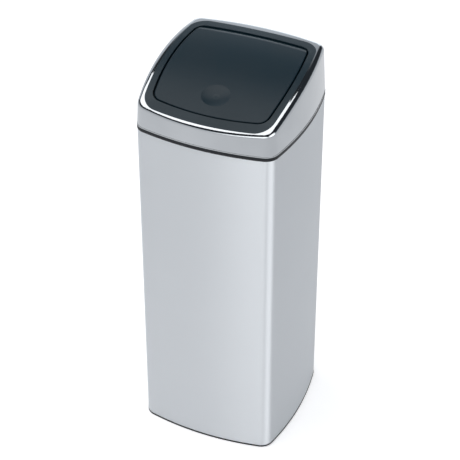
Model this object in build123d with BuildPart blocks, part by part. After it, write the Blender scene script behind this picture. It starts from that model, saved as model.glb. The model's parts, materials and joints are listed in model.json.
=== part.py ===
"""Touch-top kitchen bin: a square steel body with bowed sides, an inner bucket with a
bail, and a hinged lid unit whose black flap springs open when its front is pressed.

Frame: origin on the floor under the middle of the body, +Z up, front towards -Y, millimetres.
"""

from build123d import *
import math
import os

os.makedirs("parts", exist_ok=True)

# ---------------------------------------------------------------- driving dimensions

# clearances
seat_gap = 0.15  # between pieces that sit in each other
part_gap = 0.3  # between pieces that move past each other
running_gap = 0.05  # radial, between a pin and its bore

# body, seen from above: four bowed walls with round corners
body_half_width = 120.0
body_half_depth = 119.0
body_side_bow = 12.2
body_front_bow = 13.3
body_corner = 21.0
shell_wall = 0.6
shell_length = 555.6

# foot ring and base ring
foot_proud = 1.0
foot_seat = 1.4
foot_inset = 3.0
foot_width = 7.0
base_lip = 2.9
base_lip_proud = 0.3
upstand_wall = 2.5
base_upstand = 24.0
ledge_inset = 16.0
ledge_height = 4.6
floor_panel_wall = 0.8

# top ring, the black collar under the lid
band_height = 2.8
band_proud = 0.7
collar_depth = 23.0
collar_wall = 2.0

# rear hinge of the lid unit
hinge_setback = 7.5
hinge_barrel = 4.5
hinge_pin = 1.6
lid_knuckle_half = 17.5
ear_width = 12.0
hinge_pin_overhang = 2.0
gusset_drop = 6.5

# lid ring, the lower edge of the lid unit
skirt_inset = 4.0
skirt_wall = 2.0
skirt_drop = 7.3
rib_wall = 1.6
rib_height = 4.6
rib_gap = 0.7

# steel lid housing
housing_proud = 0.4
housing_wall = 0.8
housing_draft = 3.3
housing_roll = 7.5
hem_height = 1.4
hem_proud = 0.3
crown_front = 30.9  # height of the arched top above the housing's lower edge
crown_middle = 67.4
crown_rear = 75.35

# black frame round the flap
frame_side_inset = 13.1  # in from the steel body
frame_front_inset = 6.1
frame_rear_inset = 19.5
frame_front_bow = 9.3
frame_rear_bow = 5.8
frame_side_bow = 9.0
frame_corner = 29.0
frame_plate = 3.0
frame_wall_inset = 2.0
frame_wall = 2.0
frame_flange = 3.0
boss_radius = 4.5
boss_height = 22.0
boss_side_inset = 17.4  # in from the frame
boss_front_inset = 19.9
boss_rear_inset = 16.0
boss_pad = 6.5

# aperture in the frame
aperture_side_inset = 9.3  # in from the frame
aperture_front_inset = 14.7
aperture_rear_inset = 14.0
aperture_front_bow = 9.2
aperture_rear_bow = 5.5
aperture_side_bow = 7.5
aperture_corner = 18.8
rim_wall = 2.0
ledge_width = 5.0
rim_depth = 10.6
rim_ledge = 2.0
ledge_reach = 7.5  # from the hinge axis forward to the end of the ledge
deep_wall_reach = 2.5  # from the hinge axis forward to the start of the deep wall

# flap
flap_gap = 2.6
flap_rear_gap = 1.6
flap_drop = 0.4  # below the frame's surface
flap_skin = 2.0
flap_rim = 1.8
flap_depth = 7.5
flap_edge_round = 1.2
flap_rear_round = 26.0  # the rear edge rolls down towards the hinge
flap_rear_roll = 9.0  # how much of the flap the roll takes up
flap_rear_rim = 5.0
dish_inset = 38.6  # from the aperture's front
dish_radius = 22.0
dish_depth = 3.0
dish_wall = 1.8
liner_top = 5.5
liner_bottom = 7.0
liner_reach = 8.0  # from the hinge axis forward to the liner

# flap hinge
axis_inset = 33.0  # from the aperture's rear, so that the flap's rear corners dip clear
axis_depth = 7.2
rod_radius = 2.0
rod_half = 61.0
knuckle_radius = 3.7
knuckle_inner = 47.0
knuckle_width = 8.0
ear_across = 57.5
frame_ear_half = 2.0
ear_foot_half = 3.5
shelf_drop = 38.0  # from the hinge axis to the underside of the shelf
shelf_wall = 4.0
shelf_reach = 9.5  # from the hinge axis forward to the shelf's edge
shelf_half = 66.0
ear_notch = 0.6

# flap spring
spring_wire = 1.3
spring_mean = 3.4
spring_start = 8.0
spring_pitch = 1.9
spring_turns = 3.75
spring_leg_down = 36.3
spring_leg_forward = 24.8
spring_pocket = 2.6

# damper and its gears
gear_module = 1.0
sector_teeth = 28
pinion_teeth = 14
pressure_angle = 25.0
flank_points = 4
addendum = 0.85
dedendum = 1.3
tooth_thinning = 0.12
mesh_angle = -140.0
gear_face_width = 3.4
pinion_face_width = 4.0
gear_start = -24.2
sector_from = -151.0
sector_to = -44.0
sector_foot_length = 15.0
sector_foot_width = 10.0
sector_foot_wall = 2.0
sector_foot_reach = 25.0  # from the hinge axis forward to the foot's front
sector_arm_drop = 5.0  # from the hinge axis to the underside of the arm
sector_screw_length = 7.0
bracket_wall = 2.5
bracket_gap = 1.0
bracket_half = 11.0
bracket_above = 9.0
bracket_below = 9.5
damper_radius = 6.0
damper_length = 9.0
damper_flange = 1.2
damper_ear = 2.2
damper_screw_reach = 8.0
shaft_radius = 1.5
shaft_length = 11.0

# touch latch at the front
latch_inset = 12.2  # from the aperture's front
latch_radius = 7.0
latch_bore = 5.0
latch_height = 20.0
latch_guide = 5.0
latch_cap_height = 2.0
latch_shelf_wall = 3.0
latch_shelf_half = 15.0
latch_shelf_reach = 9.0  # from the latch's middle to the shelf's rear
latch_flange_length = 26.0
latch_flange_width = 15.0
latch_flange_wall = 2.0
latch_screw_across = 10.0
latch_screw_head = 2.4
latch_travel = 2.5
plunger_head = 4.5
plunger_head_height = 5.7
plunger_stem = 3.0
plunger_foot = 4.4
plunger_foot_height = 2.0
latch_spring_wire = 0.8
latch_spring_mean = 3.5
latch_spring_turns = 5
latch_spring_gap = 0.1
magnet_radius = 3.0
magnet_depth = 3.0
strike_pad_length = 20.0
strike_pad_width = 10.0
strike_pad_wall = 0.4  # least height of the pad that carries the strike plate
strike_wall = 1.0
strike_screw_offset = 6.5
strike_screw_length = 3.0

# fasteners, and points on which a spring's gap is measured
gap_points = 400
screw_radius = 1.5
screw_head = 3.0
screw_head_height = 1.8
small_screw = 1.0
small_screw_head = 1.7
small_screw_head_height = 1.2
cover_boss = 3.2
cover_screw_side_inset = 27.6  # from the aperture
cover_screw_front_inset = 24.2
cover_screw_rear_inset = 55.5
bumper_radius = 1.8
bumper_across = 60.0
bumper_inset = 7.2  # from the aperture's front

# inner bucket
bucket_gap = 0.2  # above the floor panel
bucket_drop = 92.0  # from the body's top to the bucket's rim, so that the bail clears the lid
bucket_base_inset = 11.0
bucket_top_inset = 8.0
bucket_wall = 2.0
bucket_floor = 2.4
bucket_base_round = 6.0
rim_inset = 5.5
rim_height = 2.0
bail_drop = 8.0  # pivots below the bucket's rim
pivot_boss = 6.0
pivot_boss_inset = 9.0  # from the steel body
pivot_boss_length = 6.5

# bail
bail_wire = 2.0
bail_side_inset = 22.0  # from the steel body to the middle of the wire
bail_rear_inset = 29.0
bail_end_inset = 6.5
bail_pivot_bend = 6.0
bail_corner = 28.0
bail_grip_radius = 7.0
bail_grip_half = 40.0
lug_across = 60.0
lug_width = 4.0
lug_inset = 13.7
lug_length = 21.3
lug_height = 6.0
bail_rest_gap = 0.2

# carry grip on the back
grip_drop = 66.9  # from the body's top to the grip's underside
grip_height = 22.0
grip_half = 52.0
grip_reach = 27.0
grip_bar = 10.0
grip_foot = 14.0
grip_outer_corner = 17.0
grip_inner_corner = 10.0
grip_edge_round = 2.5
grip_screw_across = 45.0
grip_screw_depth = 12.0
grip_screw_head = 3.4

# ---------------------------------------------------------------- heights and centres

shell_bottom = foot_proud + base_lip
shell_top = shell_bottom + shell_length
collar_top = shell_top + band_height
lid_ring_bottom = collar_top + part_gap
housing_bottom = lid_ring_bottom + band_height
floor_panel_bottom = shell_bottom + ledge_height
bucket_bottom = floor_panel_bottom + floor_panel_wall + bucket_gap
bucket_top = shell_top - bucket_drop
bail_height = bucket_top - bail_drop
hinge_y = body_half_depth + hinge_setback
hinge_z = collar_top + part_gap / 2

# The lid's top is part of a cylinder along X, through these three heights.
crown_arc = Edge.make_three_point_arc(
    (0, -body_half_depth, housing_bottom + crown_front),
    (0, 0, housing_bottom + crown_middle),
    (0, body_half_depth, housing_bottom + crown_rear),
)
crown_y = crown_arc.arc_center.Y
crown_z = crown_arc.arc_center.Z
crown_radius = crown_arc.radius
wide = 4 * body_half_width  # wider than anything it cuts
tall = housing_bottom + crown_rear + hinge_setback  # above the whole bin


def crown_height(y, depth=0.0):
    """Height of the lid's arched top at y, or of the surface that lies depth below it."""
    return crown_z + math.sqrt((crown_radius - depth) ** 2 - (y - crown_y) ** 2)


frame_half_width = body_half_width - frame_side_inset
frame_front = body_half_depth - frame_front_inset
frame_rear = body_half_depth - frame_rear_inset
aperture_half_width = frame_half_width - aperture_side_inset
aperture_front = frame_front - aperture_front_inset
aperture_rear = frame_rear - aperture_rear_inset
flap_rear = aperture_rear - flap_rear_gap
axis_y = aperture_rear - axis_inset
axis_z = crown_height(axis_y) - axis_depth
liner_rear = axis_y - liner_reach
shelf_front = axis_y - shelf_reach
sector_foot_start = axis_y - sector_foot_reach
dish_setback = aperture_front - dish_inset
latch_setback = aperture_front - latch_inset
latch_shelf_rear = latch_setback - latch_shelf_reach
pivot_boss_end = body_half_width - pivot_boss_inset
pivot_boss_start = pivot_boss_end - pivot_boss_length
bail_half = body_half_width - bail_side_inset
bail_end = body_half_width - bail_end_inset
bail_arm = body_half_depth - bail_rear_inset
lug_outer = body_half_depth - lug_inset
lug_inner = lug_outer - lug_length
grip_bottom = shell_top - grip_drop
shelf_bottom = axis_z - shelf_drop
shelf_top = shelf_bottom + shelf_wall
gear_distance = gear_module * (sector_teeth + pinion_teeth) / 2
pinion_y = axis_y + gear_distance * math.cos(math.radians(mesh_angle))
pinion_z = axis_z + gear_distance * math.sin(math.radians(mesh_angle))
strike_height = crown_height(-latch_setback - strike_pad_width / 2, liner_bottom) - strike_pad_wall
liner_boss_bottom = crown_height(sector_foot_start, liner_bottom)
plunger_top = strike_height - strike_wall - part_gap
plunger_shoulder = plunger_top - plunger_head_height
latch_top = plunger_shoulder - latch_travel - part_gap
latch_bottom = latch_top - latch_height
latch_shelf_top = latch_top - latch_guide


# ---------------------------------------------------------------- shared outlines


def bow_radius(half_chord, bow):
    """Radius of the arc that rises by bow over a chord."""
    return (half_chord**2 + bow**2) / (2 * bow)


def outer_crossing(centre_a, radius_a, centre_b, radius_b, side):
    """Where two circles cross: the point furthest towards +X and side, which is 1 or -1, of Y."""
    apart = Vector(*centre_b) - Vector(*centre_a)
    along = (radius_a**2 - radius_b**2 + apart.length**2) / (2 * apart.length)
    reach = math.sqrt(radius_a**2 - along**2)
    unit = apart.normalized()
    foot = Vector(*centre_a) + unit * along
    across = Vector(-unit.Y, unit.X) * reach
    return max((foot + across, foot - across), key=lambda point: point.X + side * point.Y)


def bowed_outline(half_width, front, rear, front_bow, rear_bow, side_bow, corner, grow):
    """A square with four bowed sides and round corners, seen from above, moved outwards by grow."""
    half_chord = half_width - side_bow
    y_middle = (rear - rear_bow - front + front_bow) / 2
    half_side = (rear - rear_bow + front - front_bow) / 2
    front_radius = bow_radius(half_chord, front_bow)
    rear_radius = bow_radius(half_chord, rear_bow)
    side_radius = bow_radius(half_side, side_bow)
    side_circle = ((half_width - side_radius, y_middle), side_radius + grow)
    front_circle = ((0, front_radius - front), front_radius + grow)
    rear_circle = ((0, rear - rear_radius), rear_radius + grow)
    low = outer_crossing(*front_circle, *side_circle, -1)
    high = outer_crossing(*rear_circle, *side_circle, 1)
    with BuildSketch() as outline:
        with BuildLine():
            ThreePointArc((-low.X, low.Y), (0, -front - grow), (low.X, low.Y))
            ThreePointArc((low.X, low.Y), (half_width + grow, y_middle), (high.X, high.Y))
            ThreePointArc((high.X, high.Y), (0, rear + grow), (-high.X, high.Y))
            ThreePointArc((-high.X, high.Y), (-half_width - grow, y_middle), (-low.X, low.Y))
        make_face()
        fillet(outline.vertices(), corner + grow)
    return outline.sketch


def body_outline(grow=0.0):
    """The steel body, seen from above."""
    depth = body_half_depth
    bow = body_front_bow
    return bowed_outline(body_half_width, depth, depth, bow, bow, body_side_bow, body_corner, grow)


def frame_outline(grow=0.0):
    """Outer edge of the black frame round the flap."""
    return bowed_outline(
        frame_half_width,
        frame_front,
        frame_rear,
        frame_front_bow,
        frame_rear_bow,
        frame_side_bow,
        frame_corner,
        grow,
    )


def aperture_outline(grow=0.0):
    """Inner edge of the frame, which the flap closes."""
    return bowed_outline(
        aperture_half_width,
        aperture_front,
        aperture_rear,
        aperture_front_bow,
        aperture_rear_bow,
        aperture_side_bow,
        aperture_corner,
        grow,
    )


def flap_outline(grow=0.0, rear_setback=0.0):
    """Edge of the flap, with its rear edge further forward by rear_setback."""
    return bowed_outline(
        aperture_half_width - flap_gap,
        aperture_front - flap_gap,
        flap_rear - rear_setback,
        aperture_front_bow,
        aperture_rear_bow,
        aperture_side_bow,
        aperture_corner - flap_gap,
        grow,
    )


def crown(depth, mode):
    """The room under the lid's arched top, down from depth below it."""
    with Locations((0, crown_y, crown_z)):
        Cylinder(crown_radius - depth, wide, rotation=(0, 90, 0), mode=mode)


def hinge_disc(radius, y, z, mode=Mode.ADD):
    """A circle about a hinge axis, in a sketch on a plane across X."""
    with Locations((y, z)):
        Circle(radius, mode=mode)


# ---------------------------------------------------------------- body

grip_screw_z = grip_bottom + grip_height / 2
grip_screw_places = [(side * grip_screw_across, body_half_depth, grip_screw_z) for side in (-1, 1)]

with BuildPart() as body_shell:
    with BuildSketch(Plane.XY.offset(shell_bottom)):
        add(body_outline())
        add(body_outline(-shell_wall), mode=Mode.SUBTRACT)
    extrude(amount=shell_length)
    with Locations(*grip_screw_places):
        Cylinder(screw_radius + seat_gap, grip_foot, rotation=(90, 0, 0), mode=Mode.SUBTRACT)
body_shell.part.label = "body_shell"
export_step(body_shell.part, "parts/body_shell.step")

upstand_inset = shell_wall + seat_gap

with BuildPart() as base_ring:
    with BuildSketch(Plane.XY.offset(foot_proud)):
        add(body_outline(base_lip_proud))
        add(body_outline(-ledge_inset), mode=Mode.SUBTRACT)
    extrude(amount=base_lip)
    with BuildSketch(Plane.XY.offset(shell_bottom)):
        add(body_outline(-upstand_inset))
        add(body_outline(-upstand_inset - upstand_wall), mode=Mode.SUBTRACT)
    extrude(amount=base_upstand)
    with BuildSketch(Plane.XY.offset(shell_bottom)):
        add(body_outline(-upstand_inset))
        add(body_outline(-ledge_inset), mode=Mode.SUBTRACT)
    extrude(amount=ledge_height)
    with BuildSketch(Plane.XY.offset(foot_proud)):
        add(body_outline(-foot_inset + seat_gap))
        add(body_outline(-foot_inset - foot_width - seat_gap), mode=Mode.SUBTRACT)
    extrude(amount=foot_seat, mode=Mode.SUBTRACT)
base_ring.part.label = "base_ring"
export_step(base_ring.part, "parts/base_ring.step")

with BuildPart() as foot_ring:
    with BuildSketch():
        add(body_outline(-foot_inset))
        add(body_outline(-foot_inset - foot_width), mode=Mode.SUBTRACT)
    extrude(amount=foot_proud + foot_seat)
foot_ring.part.label = "foot_ring"
export_step(foot_ring.part, "parts/foot_ring.step")

with BuildPart() as floor_panel:
    with BuildSketch(Plane.XY.offset(floor_panel_bottom)):
        add(body_outline(-upstand_inset - upstand_wall - seat_gap))
    extrude(amount=floor_panel_wall)
floor_panel.part.label = "floor_panel"
export_step(floor_panel.part, "parts/floor_panel.step")

# ---------------------------------------------------------------- top ring and its hinge ears

band_rear = body_half_depth + band_proud
ear_start = lid_knuckle_half + part_gap

with BuildPart() as top_ring:
    with BuildSketch(Plane.XY.offset(shell_top)):
        add(body_outline(band_proud))
        add(body_outline(-upstand_inset - collar_wall), mode=Mode.SUBTRACT)
    extrude(amount=band_height)
    with BuildSketch(Plane.XY.offset(shell_top - collar_depth)):
        add(body_outline(-upstand_inset))
        add(body_outline(-upstand_inset - collar_wall), mode=Mode.SUBTRACT)
    extrude(amount=collar_depth)
    for across in (-ear_start - ear_width, ear_start):
        with BuildSketch(Plane.YZ.offset(across)):
            with BuildLine():
                Polyline(
                    (body_half_depth - collar_wall, collar_top),
                    (hinge_y, collar_top),
                    (hinge_y, hinge_z - hinge_barrel),
                    (band_rear, shell_top - gusset_drop),
                    (band_rear, shell_top),
                    (body_half_depth - collar_wall, shell_top),
                    close=True,
                )
            make_face()
            hinge_disc(hinge_barrel, hinge_y, hinge_z)
            hinge_disc(hinge_pin + running_gap, hinge_y, hinge_z, Mode.SUBTRACT)
        extrude(amount=ear_width)
top_ring.part.label = "top_ring"
export_step(top_ring.part, "parts/top_ring.step")

with BuildPart() as lid_hinge_pin:
    pin_half = ear_start + ear_width + hinge_pin_overhang
    with BuildSketch(Plane.YZ.offset(-pin_half)):
        hinge_disc(hinge_pin, hinge_y, hinge_z)
    extrude(amount=2 * pin_half)
    with BuildSketch(Plane.YZ.offset(-pin_half)):
        hinge_disc(hinge_pin + running_gap + seat_gap, hinge_y, hinge_z)
    extrude(amount=hinge_pin_overhang - seat_gap)
lid_hinge_pin.part.label = "lid_hinge_pin"
export_step(lid_hinge_pin.part, "parts/lid_hinge_pin.step")

# ---------------------------------------------------------------- carry grip on the back

with BuildPart() as rear_grip:
    with BuildSketch(Plane.XY.offset(grip_bottom)):
        with Locations((0, body_half_depth)):
            RectangleRounded(2 * grip_half, 2 * grip_reach, grip_outer_corner)
            RectangleRounded(
                2 * (grip_half - grip_foot),
                2 * (grip_reach - grip_bar),
                grip_inner_corner,
                mode=Mode.SUBTRACT,
            )
    extrude(amount=grip_height)
    fillet(rear_grip.edges().filter_by(Axis.Z, reverse=True), grip_edge_round)
    with BuildSketch(Plane.XY.offset(grip_bottom)):
        add(body_outline(seat_gap))
    extrude(amount=grip_height, mode=Mode.SUBTRACT)
    with Locations(*grip_screw_places):
        Cylinder(screw_radius + running_gap, 2 * grip_screw_depth, rotation=(90, 0, 0), mode=Mode.SUBTRACT)
rear_grip.part.label = "rear_grip"
export_step(rear_grip.part, "parts/rear_grip.step")

wall_radius = bow_radius(body_half_width - body_side_bow, body_front_bow)
wall_drop = wall_radius - math.sqrt(wall_radius**2 - (grip_screw_across + grip_screw_head) ** 2)
grip_head_y = body_half_depth - wall_drop - shell_wall - seat_gap

with BuildPart() as grip_screws:
    for side in (-1, 1):
        screw_plane = Plane(
            origin=(side * grip_screw_across, grip_head_y, grip_screw_z), x_dir=(1, 0, 0), z_dir=(0, 1, 0)
        )
        with BuildSketch(screw_plane):
            Circle(grip_screw_head)
        extrude(amount=-screw_head_height)
        with BuildSketch(screw_plane):
            Circle(screw_radius)
        extrude(amount=body_half_depth + grip_screw_depth - grip_head_y - seat_gap)
grip_screws.part.label = "grip_screws"
export_step(grip_screws.part, "parts/grip_screws.step")

# ---------------------------------------------------------------- inner bucket

with BuildPart() as inner_bucket:
    with BuildSketch(Plane.XY.offset(bucket_bottom)):
        add(body_outline(-bucket_base_inset))
    with BuildSketch(Plane.XY.offset(bucket_top)):
        add(body_outline(-bucket_top_inset))
    loft(ruled=True)
    fillet(inner_bucket.faces().sort_by(Axis.Z)[0].edges(), bucket_base_round)
    with BuildSketch(Plane.XY.offset(bucket_top - rim_height)):
        add(body_outline(-rim_inset))
    extrude(amount=rim_height)
    with BuildSketch(Plane.XY.offset(bucket_bottom + bucket_floor)):
        add(body_outline(-(bucket_base_inset + bucket_wall)))
    with BuildSketch(Plane.XY.offset(bucket_top)):
        add(body_outline(-(bucket_top_inset + bucket_wall)))
    loft(ruled=True, mode=Mode.SUBTRACT)
    for across in (-pivot_boss_end, pivot_boss_start):
        with BuildSketch(Plane.YZ.offset(across)):
            hinge_disc(pivot_boss, 0, bail_height)
        extrude(amount=pivot_boss_end - pivot_boss_start)
    with BuildSketch(Plane.YZ.offset(-body_half_width)):
        hinge_disc(bail_wire + running_gap, 0, bail_height)
    extrude(amount=2 * body_half_width, mode=Mode.SUBTRACT)
    lug_top = bail_height - bail_wire - bail_rest_gap
    with BuildSketch(Plane.XY.offset(lug_top - lug_height)):
        for across in (-lug_across, lug_across):
            for along in (-1, 1):
                with Locations((across, along * (lug_inner + lug_outer) / 2)):
                    Rectangle(lug_width, lug_outer - lug_inner)
    extrude(amount=lug_height)
inner_bucket.part.label = "inner_bucket"
export_step(inner_bucket.part, "parts/inner_bucket.step")

with BuildPart() as bail:
    with BuildLine(Plane.XY.offset(bail_height)) as bail_path:
        FilletPolyline(
            (-bail_end, 0),
            (-bail_half, 0),
            (-bail_half, bail_arm),
            (bail_half, bail_arm),
            (bail_half, 0),
            (bail_end, 0),
            radius=[bail_pivot_bend, bail_corner, bail_corner, bail_pivot_bend],
        )
    with BuildSketch(Plane(bail_path.line @ 0, z_dir=bail_path.line % 0)):
        Circle(bail_wire)
    sweep(path=bail_path.line)
bail.part.label = "bail"
export_step(bail.part, "parts/bail.step")

with BuildPart() as bail_grip:
    with BuildSketch(Plane.YZ.offset(-bail_grip_half)):
        hinge_disc(bail_grip_radius, bail_arm, bail_height)
        hinge_disc(bail_wire + seat_gap, bail_arm, bail_height, Mode.SUBTRACT)
    extrude(amount=2 * bail_grip_half)
bail_grip.part.label = "bail_grip"
export_step(bail_grip.part, "parts/bail_grip.step")

# ---------------------------------------------------------------- lid ring

boss_places = [
    (side * (frame_half_width - boss_side_inset), along)
    for side in (-1, 1)
    for along in (boss_front_inset - frame_front, frame_rear - boss_rear_inset)
]

with BuildPart() as lid_ring:
    with BuildSketch(Plane.XY.offset(lid_ring_bottom)):
        add(body_outline(band_proud))
        add(frame_outline(-frame_wall_inset - frame_wall), mode=Mode.SUBTRACT)
        with Locations(*boss_places):
            Circle(boss_pad)
            Circle(screw_radius + seat_gap, mode=Mode.SUBTRACT)
    extrude(amount=band_height)
    with BuildSketch(Plane.XY.offset(lid_ring_bottom - skirt_drop)):
        add(body_outline(-skirt_inset))
        add(body_outline(-skirt_inset - skirt_wall), mode=Mode.SUBTRACT)
    extrude(amount=skirt_drop)
    with BuildSketch(Plane.XY.offset(housing_bottom)):
        rib_inset = housing_wall - housing_proud + rib_gap
        add(body_outline(-rib_inset))
        add(body_outline(-rib_inset - rib_wall), mode=Mode.SUBTRACT)
    extrude(amount=rib_height)
    with BuildSketch(Plane.YZ.offset(-lid_knuckle_half)):
        with BuildLine():
            Polyline(
                (body_half_depth - skirt_inset, lid_ring_bottom),
                (hinge_y, lid_ring_bottom),
                (hinge_y, hinge_z + hinge_barrel),
                (band_rear + part_gap, hinge_z + hinge_barrel),
                (band_rear + part_gap, housing_bottom),
                (body_half_depth - skirt_inset, housing_bottom),
                close=True,
            )
        make_face()
        hinge_disc(hinge_barrel, hinge_y, hinge_z)
        hinge_disc(hinge_pin + running_gap, hinge_y, hinge_z, Mode.SUBTRACT)
    extrude(amount=2 * lid_knuckle_half)
lid_ring.part.label = "lid_ring"
export_step(lid_ring.part, "parts/lid_ring.step")

with BuildPart() as lid_ring_screws:
    with BuildSketch(Plane.XY.offset(lid_ring_bottom - screw_head_height)):
        with Locations(*boss_places):
            Circle(screw_head)
    extrude(amount=screw_head_height)
    with BuildSketch(Plane.XY.offset(lid_ring_bottom)):
        with Locations(*boss_places):
            Circle(screw_radius)
    extrude(amount=band_height + boss_height - 2 * screw_head_height)
lid_ring_screws.part.label = "lid_ring_screws"
export_step(lid_ring_screws.part, "parts/lid_ring_screws.step")

# ---------------------------------------------------------------- steel lid housing

housing_lean = (tall - housing_bottom) * math.tan(math.radians(housing_draft))

with BuildPart() as housing_room:
    with BuildSketch(Plane.XY.offset(housing_bottom)):
        add(body_outline(-(housing_wall - housing_proud)))
    with BuildSketch(Plane.XY.offset(tall)):
        add(body_outline(-(housing_wall - housing_proud + housing_lean)))
    loft(ruled=True)
    crown(housing_wall, Mode.INTERSECT)
    fillet(housing_room.faces().sort_by(Axis.Z)[-1].edges(), housing_roll - housing_wall)

with BuildPart() as lid_housing:
    with BuildSketch(Plane.XY.offset(housing_bottom)):
        add(body_outline(housing_proud))
    with BuildSketch(Plane.XY.offset(tall)):
        add(body_outline(-(housing_lean - housing_proud)))
    loft(ruled=True)
    crown(0, Mode.INTERSECT)
    fillet(lid_housing.faces().sort_by(Axis.Z)[-1].edges(), housing_roll)
    with BuildSketch(Plane.XY.offset(housing_bottom)):
        add(body_outline(housing_proud + hem_proud))
    extrude(amount=hem_height)
    add(housing_room.part, mode=Mode.SUBTRACT)
    with BuildSketch(Plane.XY.offset(housing_bottom)):
        add(frame_outline(seat_gap))
    extrude(amount=tall - housing_bottom, mode=Mode.SUBTRACT)
lid_housing.part.label = "lid_housing"
export_step(lid_housing.part, "parts/lid_housing.step")

# ---------------------------------------------------------------- black frame round the flap

# Under the housing's edge: a flange that follows the inside of its rolled edge.
flange_inset = housing_wall + seat_gap - housing_proud

with BuildPart() as frame_flange_ring:
    with BuildSketch(Plane.XY.offset(housing_bottom)):
        add(body_outline(-flange_inset))
    with BuildSketch(Plane.XY.offset(tall)):
        add(body_outline(-(flange_inset + housing_lean)))
    loft(ruled=True)
    crown(housing_wall + seat_gap, Mode.INTERSECT)
    fillet(
        frame_flange_ring.faces().sort_by(Axis.Z)[-1].edges(),
        housing_roll - housing_wall - seat_gap,
    )
    crown(frame_plate, Mode.SUBTRACT)
    with BuildSketch(Plane.XY.offset(housing_bottom)):
        add(frame_outline(frame_flange))
    extrude(amount=tall - housing_bottom, mode=Mode.INTERSECT)
    with BuildSketch(Plane.XY.offset(housing_bottom)):
        add(frame_outline(-frame_wall_inset))
    extrude(amount=tall - housing_bottom, mode=Mode.SUBTRACT)

# The room in which the flap lies, down to the ledge.
with BuildPart() as flap_well:
    with BuildSketch(Plane.XY.offset(housing_bottom)):
        add(aperture_outline())
    extrude(amount=tall - housing_bottom)
    crown(rim_depth - rim_ledge, Mode.SUBTRACT)

# The wall and ledge round the flap.
with BuildPart() as frame_rim:
    with BuildSketch(Plane.XY.offset(housing_bottom)):
        add(aperture_outline(rim_wall))
        add(aperture_outline(-ledge_width), mode=Mode.SUBTRACT)
    extrude(amount=tall - housing_bottom)
    crown(0, Mode.INTERSECT)
    crown(rim_depth, Mode.SUBTRACT)
    add(flap_well.part, mode=Mode.SUBTRACT)
    with BuildSketch(Plane.XY.offset(housing_bottom)):
        add(aperture_outline())
        with Locations((0, axis_y - ledge_reach)):
            Rectangle(wide, wide, align=(Align.CENTER, Align.MIN), mode=Mode.INTERSECT)
    extrude(amount=tall - housing_bottom, mode=Mode.SUBTRACT)

pinion_start = gear_start - (pinion_face_width - gear_face_width) / 2
bracket_start = pinion_start - bracket_gap - bracket_wall
spring_lean = spring_leg_down * spring_pitch / (2 * math.pi * spring_mean)
damper_screw_ys = (pinion_y - damper_screw_reach, pinion_y + damper_screw_reach)

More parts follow.
